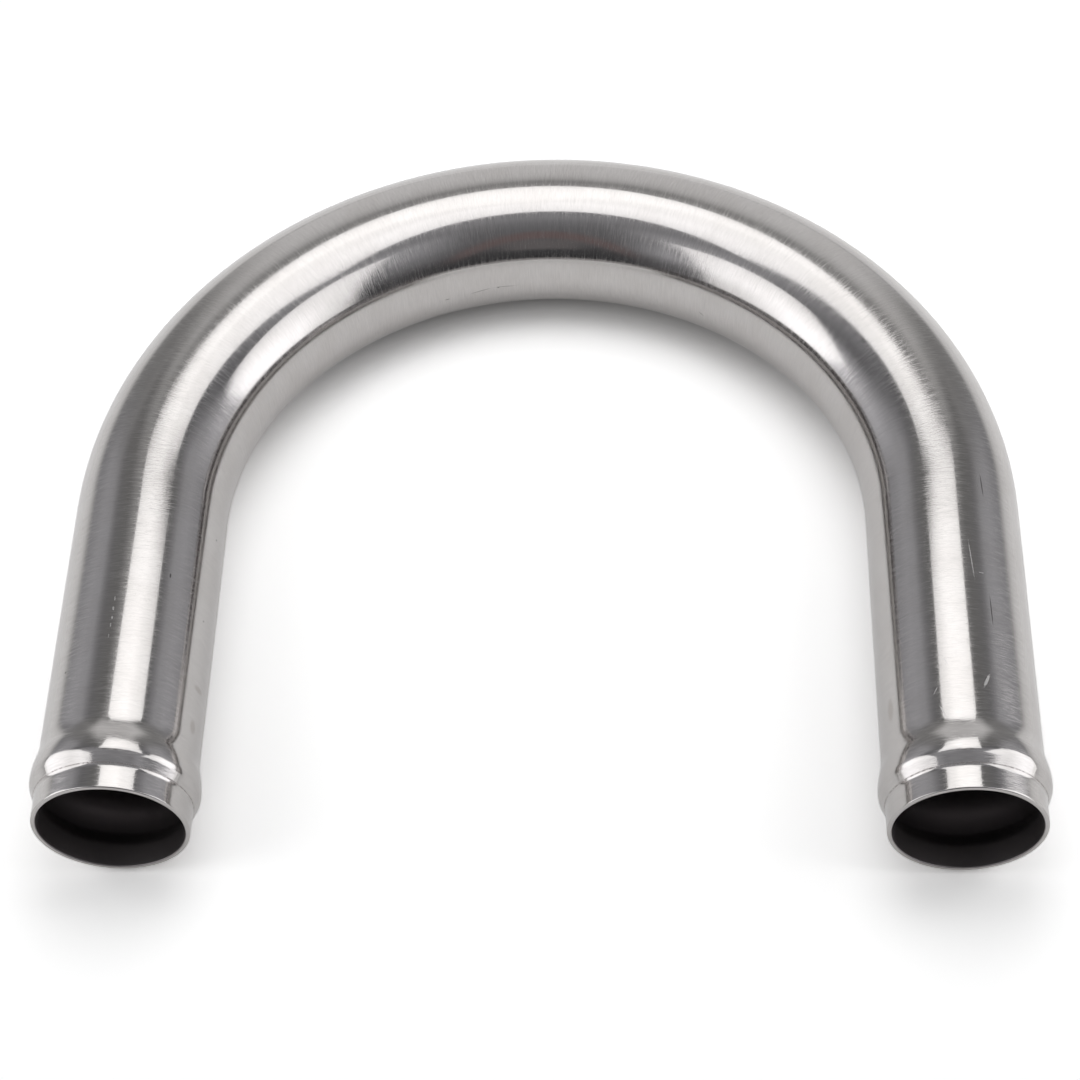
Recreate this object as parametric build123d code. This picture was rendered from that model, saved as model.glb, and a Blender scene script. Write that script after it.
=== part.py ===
from build123d import *
import math
import os

# A return bend: one length of thin-walled stainless tube turned back on itself
# through 180 degrees, with a rolled bead near each open mouth that keeps a
# clamped hose from sliding off. It lies flat: the legs point to -Y, the bend
# is at +Y, and the beads touch Z = 0. The origin is the middle of the
# footprint. All lengths are in millimetres.

# Driving dimensions
tube_diameter = 25.4
wall = 0.8
bend_radius = 66.5        # to the tube's centre line
leg_length = 60.8         # straight tube, from the mouth to the start of the bend
neck_step = 0.25          # how far the neck in front of the bead is rolled in
neck_length = 3.7         # from the mouth to the foot of the bead
bead_height = 0.8         # how far the bead stands out from the tube
bead_nose_radius = 3.0    # rounding of the bead's front, towards the mouth
bead_crease_radius = 1.6  # hollow between the neck and the bead
bead_nose_slope = 25      # degrees, of the straight flank between those two
bead_back_radius = 12.5   # rounding of the bead's back, towards the bend
bead_root_radius = 12.0   # hollow that runs the bead's back out into the tube
bead_back_slope = 14      # degrees, of the straight flank between those two
mouth_chamfer = 0.2       # deburred edges of the mouth's rim

# Sizes that follow from them
tube_radius = tube_diameter / 2
neck_radius = tube_radius - neck_step
bead_radius = tube_radius + bead_height
overall_depth = leg_length + bend_radius + tube_radius
mouth_y = -overall_depth / 2
bend_start_y = mouth_y + leg_length
axis_height = bead_radius
chamfer = min(mouth_chamfer, 0.45 * wall)


def flank_lean(foot_radius, round_radius, hollow_radius, slope):
    """Lean of a flank, held back where the arcs would leave no straight run."""
    rise = bead_radius - foot_radius
    steepest = math.acos(1 - 0.95 * rise / (round_radius + hollow_radius))
    return min(math.radians(slope), steepest)


def flank_reach(foot_radius, round_radius, hollow_radius, slope):
    """Length along the tube of one flank of the bead, from crest to foot."""
    lean = flank_lean(foot_radius, round_radius, hollow_radius, slope)
    both = round_radius + hollow_radius
    straight_rise = bead_radius - foot_radius - both * (1 - math.cos(lean))
    return both * math.sin(lean) + straight_rise / math.tan(lean)


bead_crest = neck_length + flank_reach(
    neck_radius, bead_nose_radius, bead_crease_radius, bead_nose_slope
)


def flank(inset, foot_radius, round_radius, hollow_radius, slope, side):
    """Round, straight run and hollow of one flank of the bead, and its foot.

    Points are (distance from the mouth, radius). The outer skin has inset 0.
    The inner skin lies inset by the wall, so its round is tighter and its
    hollow wider by that much, and the wall stays even round the bead.
    """
    lean = flank_lean(foot_radius, round_radius, hollow_radius, slope)
    leaning = Vector(side * math.sin(lean), math.cos(lean))
    reach = flank_reach(foot_radius, round_radius, hollow_radius, slope)
    crest_point = Vector(bead_crest, bead_radius - inset)
    foot_point = Vector(bead_crest + side * reach, foot_radius - inset)
    round_centre = crest_point - Vector(0, round_radius - inset)
    hollow_centre = foot_point + Vector(0, hollow_radius + inset)
    round_end = round_centre + leaning * (round_radius - inset)
    hollow_end = hollow_centre - leaning * (hollow_radius + inset)
    round_arc = TangentArc(crest_point, round_end, tangent=(side, 0))
    hollow_arc = TangentArc(foot_point, hollow_end, tangent=(-side, 0))
    return [round_arc, Line(round_end, hollow_end), hollow_arc], foot_point


def leg_section():
    """The wall's section from the mouth to the bend, beside the leg's axis."""
    front = (neck_radius, bead_nose_radius, bead_crease_radius, bead_nose_slope, -1)
    back = (tube_radius, bead_back_radius, bead_root_radius, bead_back_slope, 1)
    outer_front, outer_neck_end = flank(0, *front)
    outer_back, outer_tube_start = flank(0, *back)
    inner_front, inner_neck_end = flank(wall, *front)
    inner_back, inner_tube_start = flank(wall, *back)

    rim_outside = Vector(0, neck_radius - chamfer)
    rim_inside = Vector(0, neck_radius - wall + chamfer)
    neck_outside = Vector(chamfer, neck_radius)
    neck_inside = Vector(chamfer, neck_radius - wall)
    tube_outside = Vector(leg_length, tube_radius)
    tube_inside = Vector(leg_length, tube_radius - wall)

    outline = [
        Line(rim_inside, rim_outside),
        Line(rim_outside, neck_outside),
        Line(neck_outside, outer_neck_end),
        *outer_front,
        *outer_back,
        Line(outer_tube_start, tube_outside),
        Line(tube_outside, tube_inside),
        Line(tube_inside, inner_tube_start),
        *inner_back,
        *inner_front,
        Line(inner_neck_end, neck_inside),
        Line(neck_inside, rim_inside),
    ]
    return make_face(outline)


def make_leg():
    """The left leg, spun from its section about its own axis."""
    mouth_centre = (-bend_radius, mouth_y, axis_height)
    beside_axis = Plane(origin=mouth_centre, x_dir=(0, 1, 0), z_dir=(0, 0, 1))
    return revolve(beside_axis * leg_section(), axis=Axis(mouth_centre, (0, 1, 0)))


def make_bend():
    """The half turn between the legs, swung about the middle of the bend.

    Its seam runs along the outside of the turn, in line with the legs' seams.
    """
    start_centre = (-bend_radius, bend_start_y, axis_height)
    across_tube = Plane(origin=start_centre, x_dir=(-1, 0, 0), z_dir=(0, 1, 0))
    ring = across_tube * (Circle(tube_radius) - Circle(tube_radius - wall))
    bend_axis = Axis((0, bend_start_y, 0), (0, 0, -1))
    return revolve(ring, axis=bend_axis, revolution_arc=180)


left_leg = make_leg()
right_leg = mirror(left_leg, about=Plane.YZ)
return_bend = left_leg + make_bend() + right_leg

os.makedirs("parts", exist_ok=True)
export_step(return_bend, "parts/return_bend.step")
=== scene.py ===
import bmesh
import bpy
import math
from mathutils import Matrix, Quaternion, Vector


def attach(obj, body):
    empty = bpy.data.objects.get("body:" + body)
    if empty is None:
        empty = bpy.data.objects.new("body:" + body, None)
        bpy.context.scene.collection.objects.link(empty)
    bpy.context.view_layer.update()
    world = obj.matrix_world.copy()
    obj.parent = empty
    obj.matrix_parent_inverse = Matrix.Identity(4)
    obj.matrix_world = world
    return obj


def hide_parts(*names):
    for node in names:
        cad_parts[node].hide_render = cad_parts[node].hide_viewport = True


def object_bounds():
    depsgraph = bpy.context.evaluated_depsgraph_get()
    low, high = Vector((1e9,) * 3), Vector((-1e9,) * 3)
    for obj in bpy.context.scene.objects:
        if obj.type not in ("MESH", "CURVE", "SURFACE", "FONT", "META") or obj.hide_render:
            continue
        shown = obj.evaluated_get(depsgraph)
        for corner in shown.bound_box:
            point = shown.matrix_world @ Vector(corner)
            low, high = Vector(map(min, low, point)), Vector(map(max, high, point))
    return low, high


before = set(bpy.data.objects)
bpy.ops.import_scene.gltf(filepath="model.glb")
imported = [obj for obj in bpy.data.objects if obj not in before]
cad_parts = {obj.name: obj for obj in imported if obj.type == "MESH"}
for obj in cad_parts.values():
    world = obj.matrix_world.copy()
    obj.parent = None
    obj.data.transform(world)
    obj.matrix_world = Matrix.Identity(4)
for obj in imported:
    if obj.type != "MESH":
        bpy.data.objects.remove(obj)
cadLow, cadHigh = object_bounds()
print("frame loaded:", sorted(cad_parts))

# The return bend lies flat: legs towards -Y, half turn at +Y, metres where not said.
tube = {
    "diameter": 0.0254,
    "wall": 0.0008,
    "legLength": 0.0608,  # straight tube, mouth to start of bend
    "neckStep": 0.00025,  # the neck is rolled in by this much
    "neckLength": 0.0037,
    "beadHeight": 0.0008,
    "noseRadius": 0.0030,  # bead's front
    "creaseRadius": 0.0016,  # hollow between neck and bead
    "noseSlope": 25,  # degrees, of the straight flank between those two
    "backRadius": 0.0125,  # bead's back
    "rootRadius": 0.0120,  # hollow between bead and tube
    "backSlope": 14,  # degrees, of the straight flank between those two
    "rimRadius": 0.0002,  # deburred mouth
    "stepsRound": 120,
    "stepsQuarterTurn": 60,
    "stepsLeg": 10,
    "stepsNeck": 3,
    "stepsRim": 5,
    "stepsRoot": 12,
    "stepsBack": 14,
    "stepsNose": 12,
    "stepsCrease": 8,
    "mergeWithin": 1e-6,
    "boreBelow": -0.3,  # the bore's steel begins where the rim's rounding leans in this much
}
tubeRadius = tube["diameter"] / 2
neckRadius = tubeRadius - tube["neckStep"]
beadRadius = tubeRadius + tube["beadHeight"]
bendRadius = (cadHigh.x - cadLow.x) / 2 - beadRadius
axisHeight = cadLow.z + beadRadius
mouthY = cadLow.y
bendStartY = mouthY + tube["legLength"]
centrelineLength = 2 * tube["legLength"] + math.pi * bendRadius


def flankRun(rise, roundRadius, hollowRadius, slope):
    # straight length of a flank of the bead, and the flank's whole length along the tube
    both = roundRadius + hollowRadius
    straight = (rise - both * (1 - math.cos(slope))) / math.sin(slope)
    return straight, both * math.sin(slope) + straight * math.cos(slope)


noseSlope, backSlope = math.radians(tube["noseSlope"]), math.radians(tube["backSlope"])
noseStraight, noseReach = flankRun(
    beadRadius - neckRadius, tube["noseRadius"], tube["creaseRadius"], noseSlope,
)
backStraight, backReach = flankRun(
    tube["beadHeight"], tube["backRadius"], tube["rootRadius"], backSlope,
)
neckEndY = mouthY + tube["neckLength"]
crestY = neckEndY + noseReach
rootY = crestY + backReach


def sectionPoint(y, radius):
    return Vector((-bendRadius, y, axisHeight + radius))


def drawLine(bm, tip, y, radius, steps=1):
    start = tip.co.copy()
    end = sectionPoint(y, radius)
    for step in range(steps):
        tip = bmesh.ops.extrude_vert_indiv(bm, verts=[tip])["verts"][0]
        tip.co = start.lerp(end, (step + 1) / steps)
    return tip


def drawArc(bm, tip, centre, turn, steps):
    made = bmesh.ops.spin(bm, geom=[tip], cent=centre, axis=(1, 0, 0), angle=turn, steps=steps)
    return [part for part in made["geom_last"] if isinstance(part, bmesh.types.BMVert)][0]


def drawSkin(bm, tip, homeward):
    # the bead's flanks from the bend to the mouth, or homeward from the mouth to the bend
    rootCentre = sectionPoint(rootY, tubeRadius + tube["rootRadius"])
    backCentre = sectionPoint(crestY, beadRadius - tube["backRadius"])
    noseCentre = sectionPoint(crestY, beadRadius - tube["noseRadius"])
    creaseCentre = sectionPoint(neckEndY, neckRadius + tube["creaseRadius"])
    parts = [
        (rootCentre, -backSlope, tube["stepsRoot"]),
        Vector((0, -math.cos(backSlope), math.sin(backSlope))) * backStraight,
        (backCentre, backSlope, tube["stepsBack"]),
        (noseCentre, noseSlope, tube["stepsNose"]),
        Vector((0, -math.cos(noseSlope), -math.sin(noseSlope))) * noseStraight,
        (creaseCentre, -noseSlope, tube["stepsCrease"]),
    ]
    for part in reversed(parts) if homeward else parts:
        if isinstance(part, Vector):
            start = tip.co.copy()
            tip = bmesh.ops.extrude_vert_indiv(bm, verts=[tip])["verts"][0]
            tip.co = start - part if homeward else start + part
        else:
            centre, turn, steps = part
            tip = drawArc(bm, tip, centre, -turn if homeward else turn, steps)
    return tip


def drawSection(bm):
    # one open line: outside of the wall, round the mouth's rim, inside of the wall
    wall, rim = tube["wall"], tube["rimRadius"]
    stepsNeck, stepsRim, quarter = tube["stepsNeck"], tube["stepsRim"], math.pi / 2
    tip = bm.verts.new(sectionPoint(bendStartY, tubeRadius))
    tip = drawLine(bm, tip, rootY, tubeRadius, tube["stepsLeg"])
    tip = drawSkin(bm, tip, False)
    tip = drawLine(bm, tip, mouthY + 2 * rim, neckRadius, stepsNeck)
    tip = drawLine(bm, tip, mouthY + rim, neckRadius)
    tip = drawArc(bm, tip, sectionPoint(mouthY + rim, neckRadius - rim), quarter, stepsRim)
    tip = drawLine(bm, tip, mouthY, neckRadius - wall + rim)
    tip = drawArc(bm, tip, sectionPoint(mouthY + rim, neckRadius - wall + rim), quarter, stepsRim)
    tip = drawLine(bm, tip, mouthY + 2 * rim, neckRadius - wall)
    tip = drawLine(bm, tip, neckEndY, neckRadius - wall, stepsNeck)
    tip = drawSkin(bm, tip, True)
    drawLine(bm, tip, bendStartY, tubeRadius - wall, tube["stepsLeg"])


def alongAndAcross(point):
    # where a point lies on the tube as if it were straight
    if point.y < bendStartY:
        along = point.y - mouthY
        along = along if point.x < 0 else centrelineLength - along
        return along, abs(point.x) - bendRadius
    swing = math.atan2(point.x, point.y - bendStartY) + math.pi / 2
    outward = math.hypot(point.x, point.y - bendStartY) - bendRadius
    return tube["legLength"] + bendRadius * swing, outward


def unroll(bm):
    # a straightened position for every point, and a map of length and way round
    straight = bm.verts.layers.float_vector.new("straightTube")
    angleOf = {}
    alongOf = {}
    for vert in bm.verts:
        along, outward = alongAndAcross(vert.co)
        up = vert.co.z - axisHeight
        vert[straight] = (outward, up, along)
        angleOf[vert] = math.atan2(outward, up)
        alongOf[vert] = along
    mapLayer = bm.loops.layers.uv.new("alongAndRound")
    for face in bm.faces:
        angles = [angleOf[vert] for vert in face.verts]
        across = max(angles) - min(angles) > math.pi  # a face on the seam underneath
        for loop in face.loops:
            angle = angleOf[loop.vert]
            if across and angle < 0:
                angle += 2 * math.pi
            loop[mapLayer].uv = (alongOf[loop.vert], angle * tubeRadius)


def facesInwards(face):
    # true on the inside of the wall, where the normal points at the tube's axis
    place = face.calc_center_median()
    hub = Vector((math.copysign(bendRadius, place.x), place.y, axisHeight))
    if place.y > bendStartY:
        flat = Vector((place.x, place.y - bendStartY, 0)).normalized()
        hub = flat * bendRadius + Vector((0, bendStartY, axisHeight))
    return face.normal.dot((place - hub).normalized()) < tube["boreBelow"]


def makeTube():
    bm = bmesh.new()
    drawSection(bm)
    legAxis = sectionPoint(mouthY, 0)
    bmesh.ops.spin(
        bm, geom=bm.verts[:] + bm.edges[:], cent=legAxis, axis=(0, 1, 0),
        angle=2 * math.pi, steps=tube["stepsRound"], use_merge=True,
    )
    openEdges = [edge for edge in bm.edges if edge.is_boundary]
    bmesh.ops.spin(
        bm, geom=openEdges, cent=(0, bendStartY, 0), axis=(0, 0, 1),
        angle=-math.pi / 2, steps=tube["stepsQuarterTurn"],
    )
    bmesh.ops.mirror(
        bm, geom=bm.verts[:] + bm.edges[:] + bm.faces[:], matrix=Matrix.Identity(4),
        merge_dist=tube["mergeWithin"], axis="X",
    )
    bmesh.ops.remove_doubles(bm, verts=bm.verts[:], dist=tube["mergeWithin"])
    bmesh.ops.recalc_face_normals(bm, faces=bm.faces[:])
    unroll(bm)
    for face in bm.faces:
        face.smooth = True
        face.material_index = 1 if facesInwards(face) else 0
    mesh = bpy.data.meshes.new("returnBendTube")
    bm.to_mesh(mesh)
    bm.free()
    piece = bpy.data.objects.new("returnBendTube", mesh)
    bpy.context.scene.collection.objects.link(piece)
    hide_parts("return_bend")
    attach(piece, "root")
    return piece


# Small helpers for node trees.
def addNode(tree, kind, **settings):
    node = tree.nodes.new(kind)
    for name, value in settings.items():
        setattr(node, name, value)
    return node


def plug(tree, value, socket):
    if isinstance(value, bpy.types.NodeSocket):
        tree.links.new(value, socket)
    else:
        socket.default_value = value


def maths(tree, operation, first, second=0.0, clamp=False):
    node = addNode(tree, "ShaderNodeMath", operation=operation, use_clamp=clamp)
    plug(tree, first, node.inputs[0])
    plug(tree, second, node.inputs[1])
    return node.outputs[0]


def ramp(tree, value, fromLow, fromHigh, toLow=0.0, toHigh=1.0, kind="SMOOTHSTEP"):
    node = addNode(tree, "ShaderNodeMapRange", interpolation_type=kind)
    for socket, entry in zip(node.inputs, (value, fromLow, fromHigh, toLow, toHigh)):
        plug(tree, entry, socket)
    return node.outputs[0]


def mixColours(tree, factor, first, second, blend="MIX"):
    node = addNode(tree, "ShaderNodeMix", data_type="RGBA", blend_type=blend)
    plug(tree, factor, node.inputs[0])
    plug(tree, first, node.inputs[6])
    plug(tree, second, node.inputs[7])
    return node.outputs[2]


def sized(tree, vector, sizes, turn=(0, 0, 0), centre=(0, 0, 0)):
    # one unit of the result is as long as sizes say, in metres
    node = addNode(tree, "ShaderNodeMapping", vector_type="TEXTURE")
    plug(tree, vector, node.inputs["Vector"])
    node.inputs["Location"].default_value = centre
    node.inputs["Rotation"].default_value = [math.radians(angle) for angle in turn]
    node.inputs["Scale"].default_value = sizes
    return node.outputs[0]


def noise(tree, vector, detail=2.0, roughness=0.5):
    node = addNode(tree, "ShaderNodeTexNoise")
    plug(tree, vector, node.inputs["Vector"])
    node.inputs["Scale"].default_value = 1
    node.inputs["Detail"].default_value = detail
    node.inputs["Roughness"].default_value = roughness
    return node.outputs[0]


def grey(brightness):
    return (brightness, brightness, brightness, 1)


def curve(tree, value, points):
    # straight lines through (value, brightness) points
    low, high = points[0][0], points[-1][0]
    node = addNode(tree, "ShaderNodeValToRGB")
    plug(tree, ramp(tree, value, low, high, 0, 1, "LINEAR"), node.inputs[0])
    stops = node.color_ramp.elements
    stops[0].position, stops[1].position = 0, 1
    for place, brightness in points[1:-1]:
        stops.new((place - low) / (high - low)).color = grey(brightness)
    stops[0].color, stops[-1].color = grey(points[0][1]), grey(points[-1][1])
    return node.outputs[0]


def band(tree, value, low, high, soft):
    # 1 between low and high, fading to 0 over soft on each side
    rise = ramp(tree, value, low - soft / 2, low + soft / 2)
    fall = ramp(tree, value, high - soft / 2, high + soft / 2, 1, 0)
    return maths(tree, "MULTIPLY", rise, fall)


# Satin stainless steel. Sizes are in metres, heights are how far the finish stands up.
steel = {
    "colour": (0.560, 0.541, 0.531, 1),
    "stain": (0.36, 0.325, 0.30, 1),
    "roughness": 0.065,
    "streakRoughness": 0.13,
    "streakFrom": (0.52, 0.68),  # value of a line's noise where a streak begins and is full
    "cloudRoughness": 0.02,
    "cloudFrom": (0.38, 0.62),
    "cloudStain": 0.08,
    "anisotropy": 0.5,
    # fine lines round the tube, some of them slanting: size across, size along, turn, height
    "lines": [
        (0.0038, 0.00020, 0, 0.0000036),
        (0.0024, 0.00018, 8, 0.0000031),
        (0.0024, 0.00018, -9, 0.0000027),
    ],
    "lineTint": 0.17,
    "grainSize": 0.00024,
    "grainHeight": 0.0000018,
    "cloudSize": 0.007,
    "cloudHeight": 0.0000015,
    "creaseAt": 0.00438,  # scuffed line round the foot of the bead, from the mouth
    "creaseWidth": 0.00020,
    "creaseColour": (0.16, 0.13, 0.12, 1),
    "creaseStrength": 0.45,
    "creaseDots": (0.0005, 0.0005, 0.002),
    "creaseGaps": (0.40, 0.58, 0.35, 1),  # from noise values to how much of the line is left
    "scuffRoughness": 0.3,
    "boreColour": (0.34, 0.315, 0.32, 1),
    "boreRoughness": 0.42,
    "markEdge": (0.45, 1.05),  # shares of a mark's size: full up to the first, gone at the second
}

# Marks of use: distance along the tube from the left mouth and length, width in millimetres,
# way round from the top and lean in degrees (outward side of the bend positive).
marks = {
    "dark": [
        (149.4, -94.4, 5.8, 0.16, 7), (155.0, -93.4, 6.0, 0.14, -3), (141.7, -95.5, 1.4, 0.24, 0),
        (153.4, -93.7, 0.6, 0.40, 0), (200.2, -95.4, 1.7, 0.20, -26), (272.2, 25.0, 5.3, 0.26, 3),
        (297.4, 23.1, 6.7, 0.24, 1), (41.0, -31.8, 1.1, 0.36, 0), (22.9, 40.8, 0.4, 0.4, 0),
        (53.3, -72.2, 0.4, 0.5, 0), (36.1, -67.5, 0.4, 0.4, 0),
    ],
    "bright": [
        (287.9, 11.2, 9.4, 0.20, 3.6), (290.3, 18.0, 0.22, 1.1, 0), (311.1, 14.4, 3.4, 0.60, -24),
        (307.4, -13.5, 2.2, 0.14, 18), (312.6, -22.2, 1.8, 0.14, -30),
        (316.4, -18.4, 2.4, 0.16, 24), (35.2, 6.2, 1.2, 0.22, 0), (33.3, 6.4, 1.0, 0.34, 8),
        (31.5, 6.3, 0.8, 0.30, 0), (30.0, 6.6, 1.0, 0.20, 0), (28.0, 6.9, 0.9, 0.14, 0),
    ],
    "stain": [(23.3, -71.9, 1.4, 3.4, 0), (312.3, -62.8, 5.0, 2.0, 0), (16.0, -70.0, 3.0, 2.0, 0)],
}
markColours = {
    "dark": (0.10, 0.095, 0.09, 1),
    "bright": (0.86, 0.85, 0.84, 1),
    "stain": steel["stain"],
}
markStrengths = {"dark": 0.75, "bright": 0.6, "stain": 0.45}


def markMask(tree, unrolled, kind):
    # ellipses on the unrolled tube, joined into one mask
    mask = None
    for along, angle, length, width, lean in marks[kind]:
        centre = (along / 1000, math.radians(angle) * tubeRadius, 0)
        sizes = (length / 2000, width / 2000, 1)
        spot = addNode(tree, "ShaderNodeVectorMath", operation="LENGTH")
        plug(tree, sized(tree, unrolled, sizes, (0, 0, lean), centre), spot.inputs[0])
        shape = ramp(tree, spot.outputs["Value"], *steel["markEdge"], 1, 0)
        mask = shape if mask is None else maths(tree, "MAXIMUM", mask, shape)
    return mask


def addUp(tree, values):
    total = values[0]
    for value in values[1:]:
        total = maths(tree, "ADD", total, value)
    return total


def steelMaterial(inside=False):
    material = bpy.data.materials.new("boreSteel" if inside else "satinSteel")
    material.use_nodes = True
    tree = material.node_tree
    surface = tree.nodes["Principled BSDF"]
    straight = addNode(tree, "ShaderNodeAttribute", attribute_name="straightTube").outputs["Vector"]

    clouds = noise(tree, sized(tree, straight, (steel["cloudSize"],) * 3), detail=2)
    grain = noise(tree, sized(tree, straight, (steel["grainSize"],) * 3), detail=1)
    patchy = ramp(tree, clouds, *steel["cloudFrom"])
    heights = [
        maths(tree, "MULTIPLY", grain, steel["grainHeight"]),
        maths(tree, "MULTIPLY", clouds, steel["cloudHeight"]),
    ]
    shades, streaks = [], None
    for across, along, turn, rise in steel["lines"]:
        laid = sized(tree, straight, (across, across, along), turn=(0, turn, 0))
        line = noise(tree, laid, detail=2, roughness=0.6)
        shades.append(maths(tree, "SUBTRACT", line, 0.5))
        streak = ramp(tree, line, *steel["streakFrom"])
        streaks = streak if streaks is None else maths(tree, "MAXIMUM", streaks, streak)
        heights.append(maths(tree, "MULTIPLY", line, rise))
    bump = addNode(tree, "ShaderNodeBump")
    bump.inputs["Strength"].default_value = 1
    bump.inputs["Distance"].default_value = 1
    plug(tree, addUp(tree, heights), bump.inputs["Height"])
    plug(tree, bump.outputs[0], surface.inputs["Normal"])
    surface.inputs["Metallic"].default_value = 1
    if inside:
        surface.inputs["Base Color"].default_value = steel["boreColour"]
        surface.inputs["Roughness"].default_value = steel["boreRoughness"]
        return material

    unrolled = addNode(tree, "ShaderNodeUVMap", uv_map="alongAndRound").outputs[0]
    masks = {kind: markMask(tree, unrolled, kind) for kind in marks}
    tangent = addNode(tree, "ShaderNodeTangent", direction_type="UV_MAP", uv_map="alongAndRound")
    plug(tree, tangent.outputs[0], surface.inputs["Tangent"])

    parts = addNode(tree, "ShaderNodeSeparateXYZ")
    plug(tree, straight, parts.inputs[0])
    along = parts.outputs["Z"]
    fromMouth = maths(tree, "MINIMUM", along, maths(tree, "SUBTRACT", centrelineLength, along))
    half = steel["creaseWidth"] / 2
    crease = band(tree, fromMouth, steel["creaseAt"] - half, steel["creaseAt"] + half, half)
    dots = noise(tree, sized(tree, straight, steel["creaseDots"]), detail=1)
    crease = maths(tree, "MULTIPLY", crease, ramp(tree, dots, *steel["creaseGaps"]))

    shade = maths(tree, "MULTIPLY", addUp(tree, shades), steel["lineTint"])
    shade = maths(tree, "ADD", shade, 1.0)
    cloudy = maths(tree, "MULTIPLY", patchy, steel["cloudStain"])
    tint = addNode(tree, "ShaderNodeVectorMath", operation="SCALE")
    plug(tree, mixColours(tree, cloudy, steel["colour"], steel["stain"]), tint.inputs[0])
    plug(tree, shade, tint.inputs["Scale"])
    # laid over one another: stains, the scuffed line, then the scratches
    layers = [
        (masks["stain"], markStrengths["stain"], markColours["stain"]),
        (crease, steel["creaseStrength"], steel["creaseColour"]),
        (masks["dark"], markStrengths["dark"], markColours["dark"]),
        (masks["bright"], markStrengths["bright"], markColours["bright"]),
    ]
    colour = tint.outputs[0]
    for mask, strength, layerColour in layers:
        colour = mixColours(tree, maths(tree, "MULTIPLY", mask, strength), colour, layerColour)
    plug(tree, colour, surface.inputs["Base Color"])

    scuffed = maths(tree, "MAXIMUM", masks["bright"], crease)
    rough = addUp(tree, [
        maths(tree, "MULTIPLY", patchy, steel["cloudRoughness"]),
        maths(tree, "MULTIPLY", streaks, steel["streakRoughness"]),
        maths(tree, "MULTIPLY", scuffed, steel["scuffRoughness"]),
        steel["roughness"],
    ])
    plug(tree, rough, surface.inputs["Roughness"])
    surface.inputs["Anisotropic"].default_value = steel["anisotropy"]
    return material


returnBend = makeTube()
returnBend.data.materials.append(steelMaterial())
returnBend.data.materials.append(steelMaterial(inside=True))
print("tube made:", len(returnBend.data.polygons), "faces")

# The studio: pale paper, a softbox overhead and one on each side. A softbox looks along its
# bearing (clockwise from +Y when negative) and tilt (down when negative), in degrees.
studio = {
    "overhead": {"at": (0.009, 0.125, 0.321), "size": (0.290, 0.289), "glow": 1.48,
                 "bearing": 22.4, "tilt": -73.7, "spin": -26.2},
    "left": {"at": (-0.247, -0.044, 0.184), "size": (0.255, 0.334), "glow": 1.31,
             "bearing": -54.3, "tilt": 12.9, "spin": -5.2, "cut": (-1, -1, 0.66)},
    "right": {"at": (0.271, 0.012, 0.162), "size": (0.308, 0.294), "glow": 1.31,
              "bearing": 51.4, "tilt": -3.1, "spin": 4.0, "cut": (1, -0.4, 0.45)},
    "edgeFade": 0.18,  # how much a softbox dims towards its edges
    "cutSoftness": 0.03,
    "ambient": 0.34,
    # what the steel mirrors of the room: (elevation in degrees, brightness) in each direction
    "wall": [(-10, 0.77), (20, 0.77), (32, 0.72), (40, 0.60), (48, 0.35), (56, 0.42)],
    "shoulder": [
        (-5, 0.36), (3, 0.31), (9, 0.28), (18, 0.27),
        (28, 0.29), (35, 0.22), (42, 0.21), (50, 0.20),
    ],
    "flank": [
        (-5, 0.40), (3, 0.31), (9, 0.35), (18, 0.44),
        (29, 0.44), (36, 0.30), (42, 0.20), (48, 0.19),
    ],
    "side": [(0, 0.58), (12, 0.64), (21, 0.51), (28, 0.35), (36, 0.19), (42, 0.20), (50, 0.30)],
    "corner": [(3, 0.12), (10, 0.14), (16, 0.22), (24, 0.36), (50, 0.42), (58, 0.30), (66, 0.34)],
    "front": [
        (3, 0.05), (7, 0.07), (14, 0.075), (22, 0.125),
        (34, 0.165), (48, 0.185), (58, 0.24), (66, 0.32),
    ],
    # where each gives way to the next, in degrees away from the back
    "wallReach": (-25, 25, 14),  # from, to, softness
    "shoulderToFlank": (40, 50),
    "flankToSide": (48, 72),
    "sideToCorner": (96, 122),
    "cornerToFront": (42, 20),  # away from the front
    "besides": 0.25,  # how much brighter the sides are straight across
    "besidesFrom": (70, 86),
    "cornerLean": 0.32,  # the corner on the left is brighter by this much, the right one darker
    "cornerLeanAcross": (-20, 20),
    "cornerLeanUpTo": (24, 40),
    "cool": (0.98, 0.985, 1.035, 1),  # tint of all but what lies straight back
    "coolFrom": (34, 50),
    "arch": (0.195, 0.150, 0.142, 1),  # something reddish in front of the bend
    "archTop": 38,  # its elevation straight ahead; it falls away with the square of the angle
    "archFall": 0.033,
    "archWidth": (3, 9),
    "archReach": (22, 30),  # away from the front
    "patch": (0.175, 0.165, 0.160, 1),  # something paler below it
    "patchReach": (8, 14),  # away from the front
    "patchHeight": (14, 29, 5),  # from, to, softness
}


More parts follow.
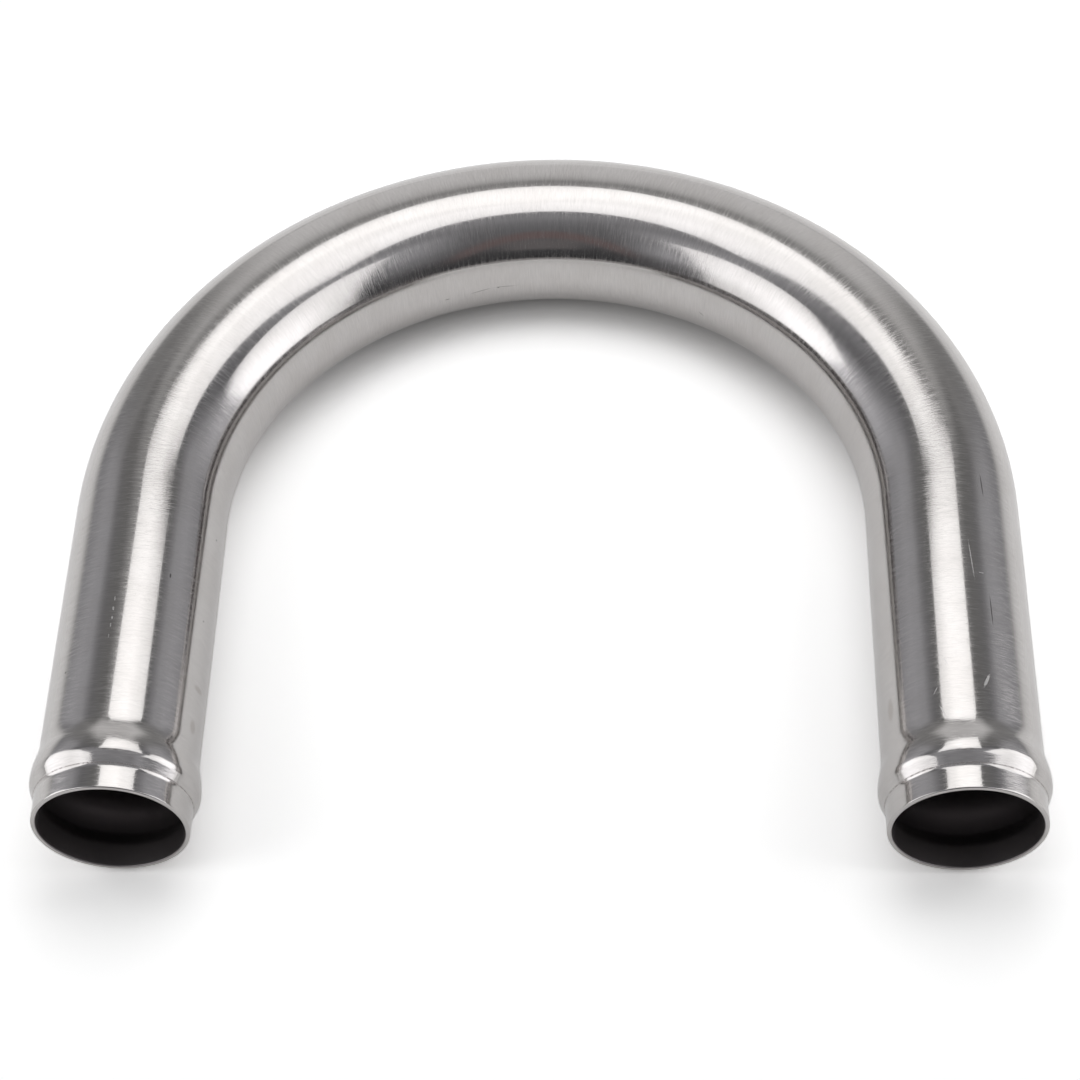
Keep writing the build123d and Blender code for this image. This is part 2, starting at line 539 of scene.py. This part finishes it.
def addSoftbox(name):
    values = studio[name]
    lamp = bpy.data.lights.new(name, "AREA")
    lamp.shape = "RECTANGLE"
    lamp.size, lamp.size_y = values["size"]
    lamp.energy = values["glow"] * math.pi * lamp.size * lamp.size_y
    lamp.use_nodes = True
    tree = lamp.node_tree
    place = addNode(tree, "ShaderNodeNewGeometry").outputs["Parametric"]
    # 0 in the middle of the softbox, 1 at the middle of each edge
    reach = addNode(tree, "ShaderNodeVectorMath", operation="LENGTH")
    plug(tree, sized(tree, place, (0.5, 0.5, 1e6), centre=(0.5, 0.5, 0)), reach.inputs[0])
    fade = maths(tree, "POWER", reach.outputs["Value"], 2)
    fade = maths(tree, "MULTIPLY", fade, studio["edgeFade"])
    strength = maths(tree, "SUBTRACT", 1, fade, clamp=True)
    if "cut" in values:  # the lower corner at the back is folded away
        corner = addNode(tree, "ShaderNodeVectorMath", operation="DOT_PRODUCT")
        plug(tree, sized(tree, place, (1, 1, 1), centre=(0.5, 0.5, 0)), corner.inputs[0])
        corner.inputs[1].default_value = values["cut"][:2] + (0,)
        edge, soft = values["cut"][2], studio["cutSoftness"]
        kept = ramp(tree, corner.outputs["Value"], edge - soft, edge + soft, 1, 0)
        strength = maths(tree, "MULTIPLY", strength, kept)
    plug(tree, strength, tree.nodes["Emission"].inputs["Strength"])
    holder = bpy.data.objects.new(name, lamp)
    holder.location = values["at"]
    turn = Matrix.Rotation(math.radians(values["bearing"]), 3, "Z")
    turn = turn @ Matrix.Rotation(math.radians(90 + values["tilt"]), 3, "X")
    turn = turn @ Matrix.Rotation(math.radians(values["spin"]), 3, "Z")
    holder.rotation_euler = turn.to_euler()
    holder.visible_camera = False
    bpy.context.scene.collection.objects.link(holder)


def seenByGloss(tree):
    path = addNode(tree, "ShaderNodeLightPath").outputs
    return maths(tree, "MAXIMUM", path["Is Glossy Ray"], path["Is Transmission Ray"])


def makeWorld():
    world = bpy.data.worlds.new("studioAir")
    bpy.context.scene.world = world
    world.use_nodes = True
    tree = world.node_tree
    background = tree.nodes["Background"]
    direction = addNode(tree, "ShaderNodeTexCoord").outputs["Generated"]
    parts = addNode(tree, "ShaderNodeSeparateXYZ")
    plug(tree, direction, parts.inputs[0])
    azimuth = maths(tree, "ARCTAN2", parts.outputs["X"], parts.outputs["Y"])
    azimuth = maths(tree, "MULTIPLY", azimuth, 180 / math.pi)
    side = maths(tree, "ABSOLUTE", azimuth)
    elevation = maths(tree, "MULTIPLY", maths(tree, "ARCSINE", parts.outputs["Z"]), 180 / math.pi)

    def mirrored(name):
        return curve(tree, elevation, studio[name])

    fromFront = maths(tree, "SUBTRACT", 180, side)
    besides = maths(tree, "ADD", ramp(tree, side, *studio["besidesFrom"], 0, studio["besides"]), 1)
    besides = mixColours(tree, 1.0, mirrored("side"), besides, "MULTIPLY")
    most = studio["cornerLean"]
    lean = ramp(tree, azimuth, *studio["cornerLeanAcross"], most, -most)
    lean = maths(tree, "MULTIPLY", lean, ramp(tree, elevation, *studio["cornerLeanUpTo"], 1, 0))
    corner = mixColours(tree, 1.0, mirrored("corner"), maths(tree, "ADD", lean, 1), "MULTIPLY")
    glow = mirrored("shoulder")
    for factor, look in (
        (ramp(tree, side, *studio["shoulderToFlank"]), mirrored("flank")),
        (ramp(tree, side, *studio["flankToSide"]), besides),
        (ramp(tree, side, *studio["sideToCorner"]), corner),
        (ramp(tree, fromFront, *studio["cornerToFront"]), mirrored("front")),
        (band(tree, azimuth, *studio["wallReach"]), mirrored("wall")),
    ):
        glow = mixColours(tree, factor, glow, look)
    arch = maths(tree, "MULTIPLY", maths(tree, "POWER", fromFront, 2), studio["archFall"])
    arch = maths(tree, "SUBTRACT", maths(tree, "ADD", elevation, arch), studio["archTop"])
    arch = ramp(tree, maths(tree, "ABSOLUTE", arch), *studio["archWidth"], 1, 0)
    arch = maths(tree, "MULTIPLY", arch, ramp(tree, fromFront, *studio["archReach"], 1, 0))
    glow = mixColours(tree, arch, glow, studio["arch"])
    patch = ramp(tree, fromFront, *studio["patchReach"], 1, 0)
    patch = maths(tree, "MULTIPLY", patch, band(tree, elevation, *studio["patchHeight"]))
    glow = mixColours(tree, patch, glow, studio["patch"])
    cool = mixColours(tree, ramp(tree, side, *studio["coolFrom"]), grey(1), studio["cool"])
    glow = mixColours(tree, 1.0, glow, cool, "MULTIPLY")
    path = addNode(tree, "ShaderNodeLightPath").outputs
    light = mixColours(tree, seenByGloss(tree), grey(studio["ambient"]), glow)
    light = mixColours(tree, path["Is Camera Ray"], light, grey(1))
    plug(tree, light, background.inputs["Color"])


# The paper. Distances are from the middle of the bend's footprint.
sheet = {
    "halfSize": 4,
    "white": 1.72,  # as the camera sees it, before the shadow
    "inSteel": 1.16,  # as the steel mirrors it near the bend
    "shadowReach": (0.10, 0.20),  # shadows fade out between these
    "acrossFrom": (100, 130),  # and in the steel between these, in millimetres to the side
    # what the steel mirrors beyond: (distance to the side in millimetres, brightness)
    "across": [(120, 0.86), (150, 0.82), (200, 0.74), (260, 0.62), (450, 0.48), (700, 0.42)],
    "bench": (0.34, 0.33, 0.33, 1),  # in front of the paper
    "benchFrom": (-0.240, -0.220),
    # painted shadow: the paper's colour is darkened inside the half turn, close under the tube; the
    # next four set how dark it gets and where it fades out
    "paintedShadow": 0.38,  # how much of the white is left in the deepest shadow
    "paintedShadowInward": (0.004, 0.016),  # from the line under the tube's middle
    "paintedShadowOutward": (-0.004, 0),
    "paintedShadowForward": (0.004, 0.054),  # from the start of the half turn
}


def makeFloor():
    bm = bmesh.new()
    bmesh.ops.create_grid(bm, x_segments=1, y_segments=1, size=sheet["halfSize"])
    crownY = bendStartY + bendRadius
    lift = axisHeight - tubeRadius  # the beads hold the crown's underside this high
    lean = math.atan2(lift, crownY - crestY)
    bmesh.ops.rotate(bm, verts=bm.verts[:], cent=(0, 0, 0), matrix=Matrix.Rotation(lean, 3, "X"))
    bmesh.ops.translate(bm, verts=bm.verts[:], vec=(0, 0, -crestY * math.tan(lean)))
    mesh = bpy.data.meshes.new("floor")
    bm.to_mesh(mesh)
    bm.free()
    floor = bpy.data.objects.new("floor", mesh)
    bpy.context.scene.collection.objects.link(floor)
    return floor


def floorMaterial():
    material = bpy.data.materials.new("palePaper")
    material.use_nodes = True
    tree = material.node_tree
    tree.nodes.clear()
    place = addNode(tree, "ShaderNodeTexCoord").outputs["Object"]
    parts = addNode(tree, "ShaderNodeSeparateXYZ")
    plug(tree, place, parts.inputs[0])
    reach = addNode(tree, "ShaderNodeVectorMath", operation="LENGTH")
    plug(tree, place, reach.inputs[0])
    far = ramp(tree, reach.outputs["Value"], *sheet["shadowReach"])
    path = addNode(tree, "ShaderNodeLightPath").outputs
    gloss = seenByGloss(tree)

    # in the steel the paper dims to the sides and ends in front, where a darker bench begins
    side = maths(tree, "MULTIPLY", maths(tree, "ABSOLUTE", parts.outputs["X"]), 1000)
    across = ramp(tree, side, *sheet["acrossFrom"])
    bench = ramp(tree, parts.outputs["Y"], *sheet["benchFrom"], 1, 0)
    beyond = maths(tree, "MAXIMUM", across, bench)
    steelSees = curve(tree, side, sheet["across"])
    steelSees = mixColours(tree, bench, steelSees, sheet["bench"])

    glow = mixColours(tree, gloss, grey(1), steelSees)
    shown = maths(tree, "MULTIPLY", path["Is Camera Ray"], far)
    inSteel = maths(tree, "MULTIPLY", gloss, maths(tree, "MAXIMUM", far, beyond))
    shown = maths(tree, "MAXIMUM", shown, inSteel)
    # painted shadow: the paper's colour is darkened inside the half turn, close under the tube, on
    # top of the shadow that the tube casts
    turn = addNode(tree, "ShaderNodeCombineXYZ")
    pastStart = maths(tree, "SUBTRACT", parts.outputs["Y"], bendStartY)
    plug(tree, parts.outputs["X"], turn.inputs["X"])
    plug(tree, maths(tree, "MAXIMUM", pastStart, 0), turn.inputs["Y"])
    outFrom = addNode(tree, "ShaderNodeVectorMath", operation="LENGTH")
    plug(tree, turn.outputs[0], outFrom.inputs[0])
    inside = maths(tree, "SUBTRACT", bendRadius, outFrom.outputs["Value"])
    paintedShadow = ramp(tree, inside, *sheet["paintedShadowInward"], 1, 0)
    paintedShadow = maths(tree, "MULTIPLY", paintedShadow, ramp(tree, inside, *sheet["paintedShadowOutward"]))
    paintedShadow = maths(tree, "MULTIPLY", paintedShadow, ramp(tree, pastStart, *sheet["paintedShadowForward"]))
    # the camera's white, darkened where the painted shadow lies
    white = mixColours(tree, paintedShadow, grey(sheet["white"]), grey(sheet["white"] * sheet["paintedShadow"]))
    paper = addNode(tree, "ShaderNodeBsdfDiffuse")
    colour = mixColours(tree, path["Is Camera Ray"], grey(sheet["inSteel"]), white)
    plug(tree, colour, paper.inputs["Color"])
    lit = addNode(tree, "ShaderNodeEmission")
    plug(tree, glow, lit.inputs["Color"])
    either = addNode(tree, "ShaderNodeMixShader")
    plug(tree, shown, either.inputs[0])
    plug(tree, paper.outputs[0], either.inputs[1])
    plug(tree, lit.outputs[0], either.inputs[2])
    output = addNode(tree, "ShaderNodeOutputMaterial")
    plug(tree, either.outputs[0], output.inputs["Surface"])
    return material


for softbox in ("overhead", "left", "right"):
    addSoftbox(softbox)
makeWorld()
makeFloor().data.materials.append(floorMaterial())
print("studio made")

view = {
    "at": (0.0178686, -0.2822208, 0.3712615),
    "aim": (-0.0006928, -0.0139305, 0.0134980),
    "roll": -3.3515,  # degrees clockwise
    "lens": 89.09,  # millimetres, like the sensor
    "sensor": 36.0,
    "clip": (0.01, 20),
}


def addCamera():
    data = bpy.data.cameras.new("camera")
    data.lens, data.sensor_width = view["lens"], view["sensor"]
    data.clip_start, data.clip_end = view["clip"]
    camera = bpy.data.objects.new("camera", data)
    bpy.context.scene.collection.objects.link(camera)
    camera.location = view["at"]
    camera.rotation_mode = "QUATERNION"
    gaze = (Vector(view["aim"]) - Vector(view["at"])).to_track_quat("-Z", "Y")
    camera.rotation_quaternion = gaze @ Quaternion((0, 0, 1), math.radians(view["roll"]))
    bpy.context.scene.camera = camera


addCamera()
bpy.context.scene.view_settings.view_transform = "Standard"
print("camera placed")
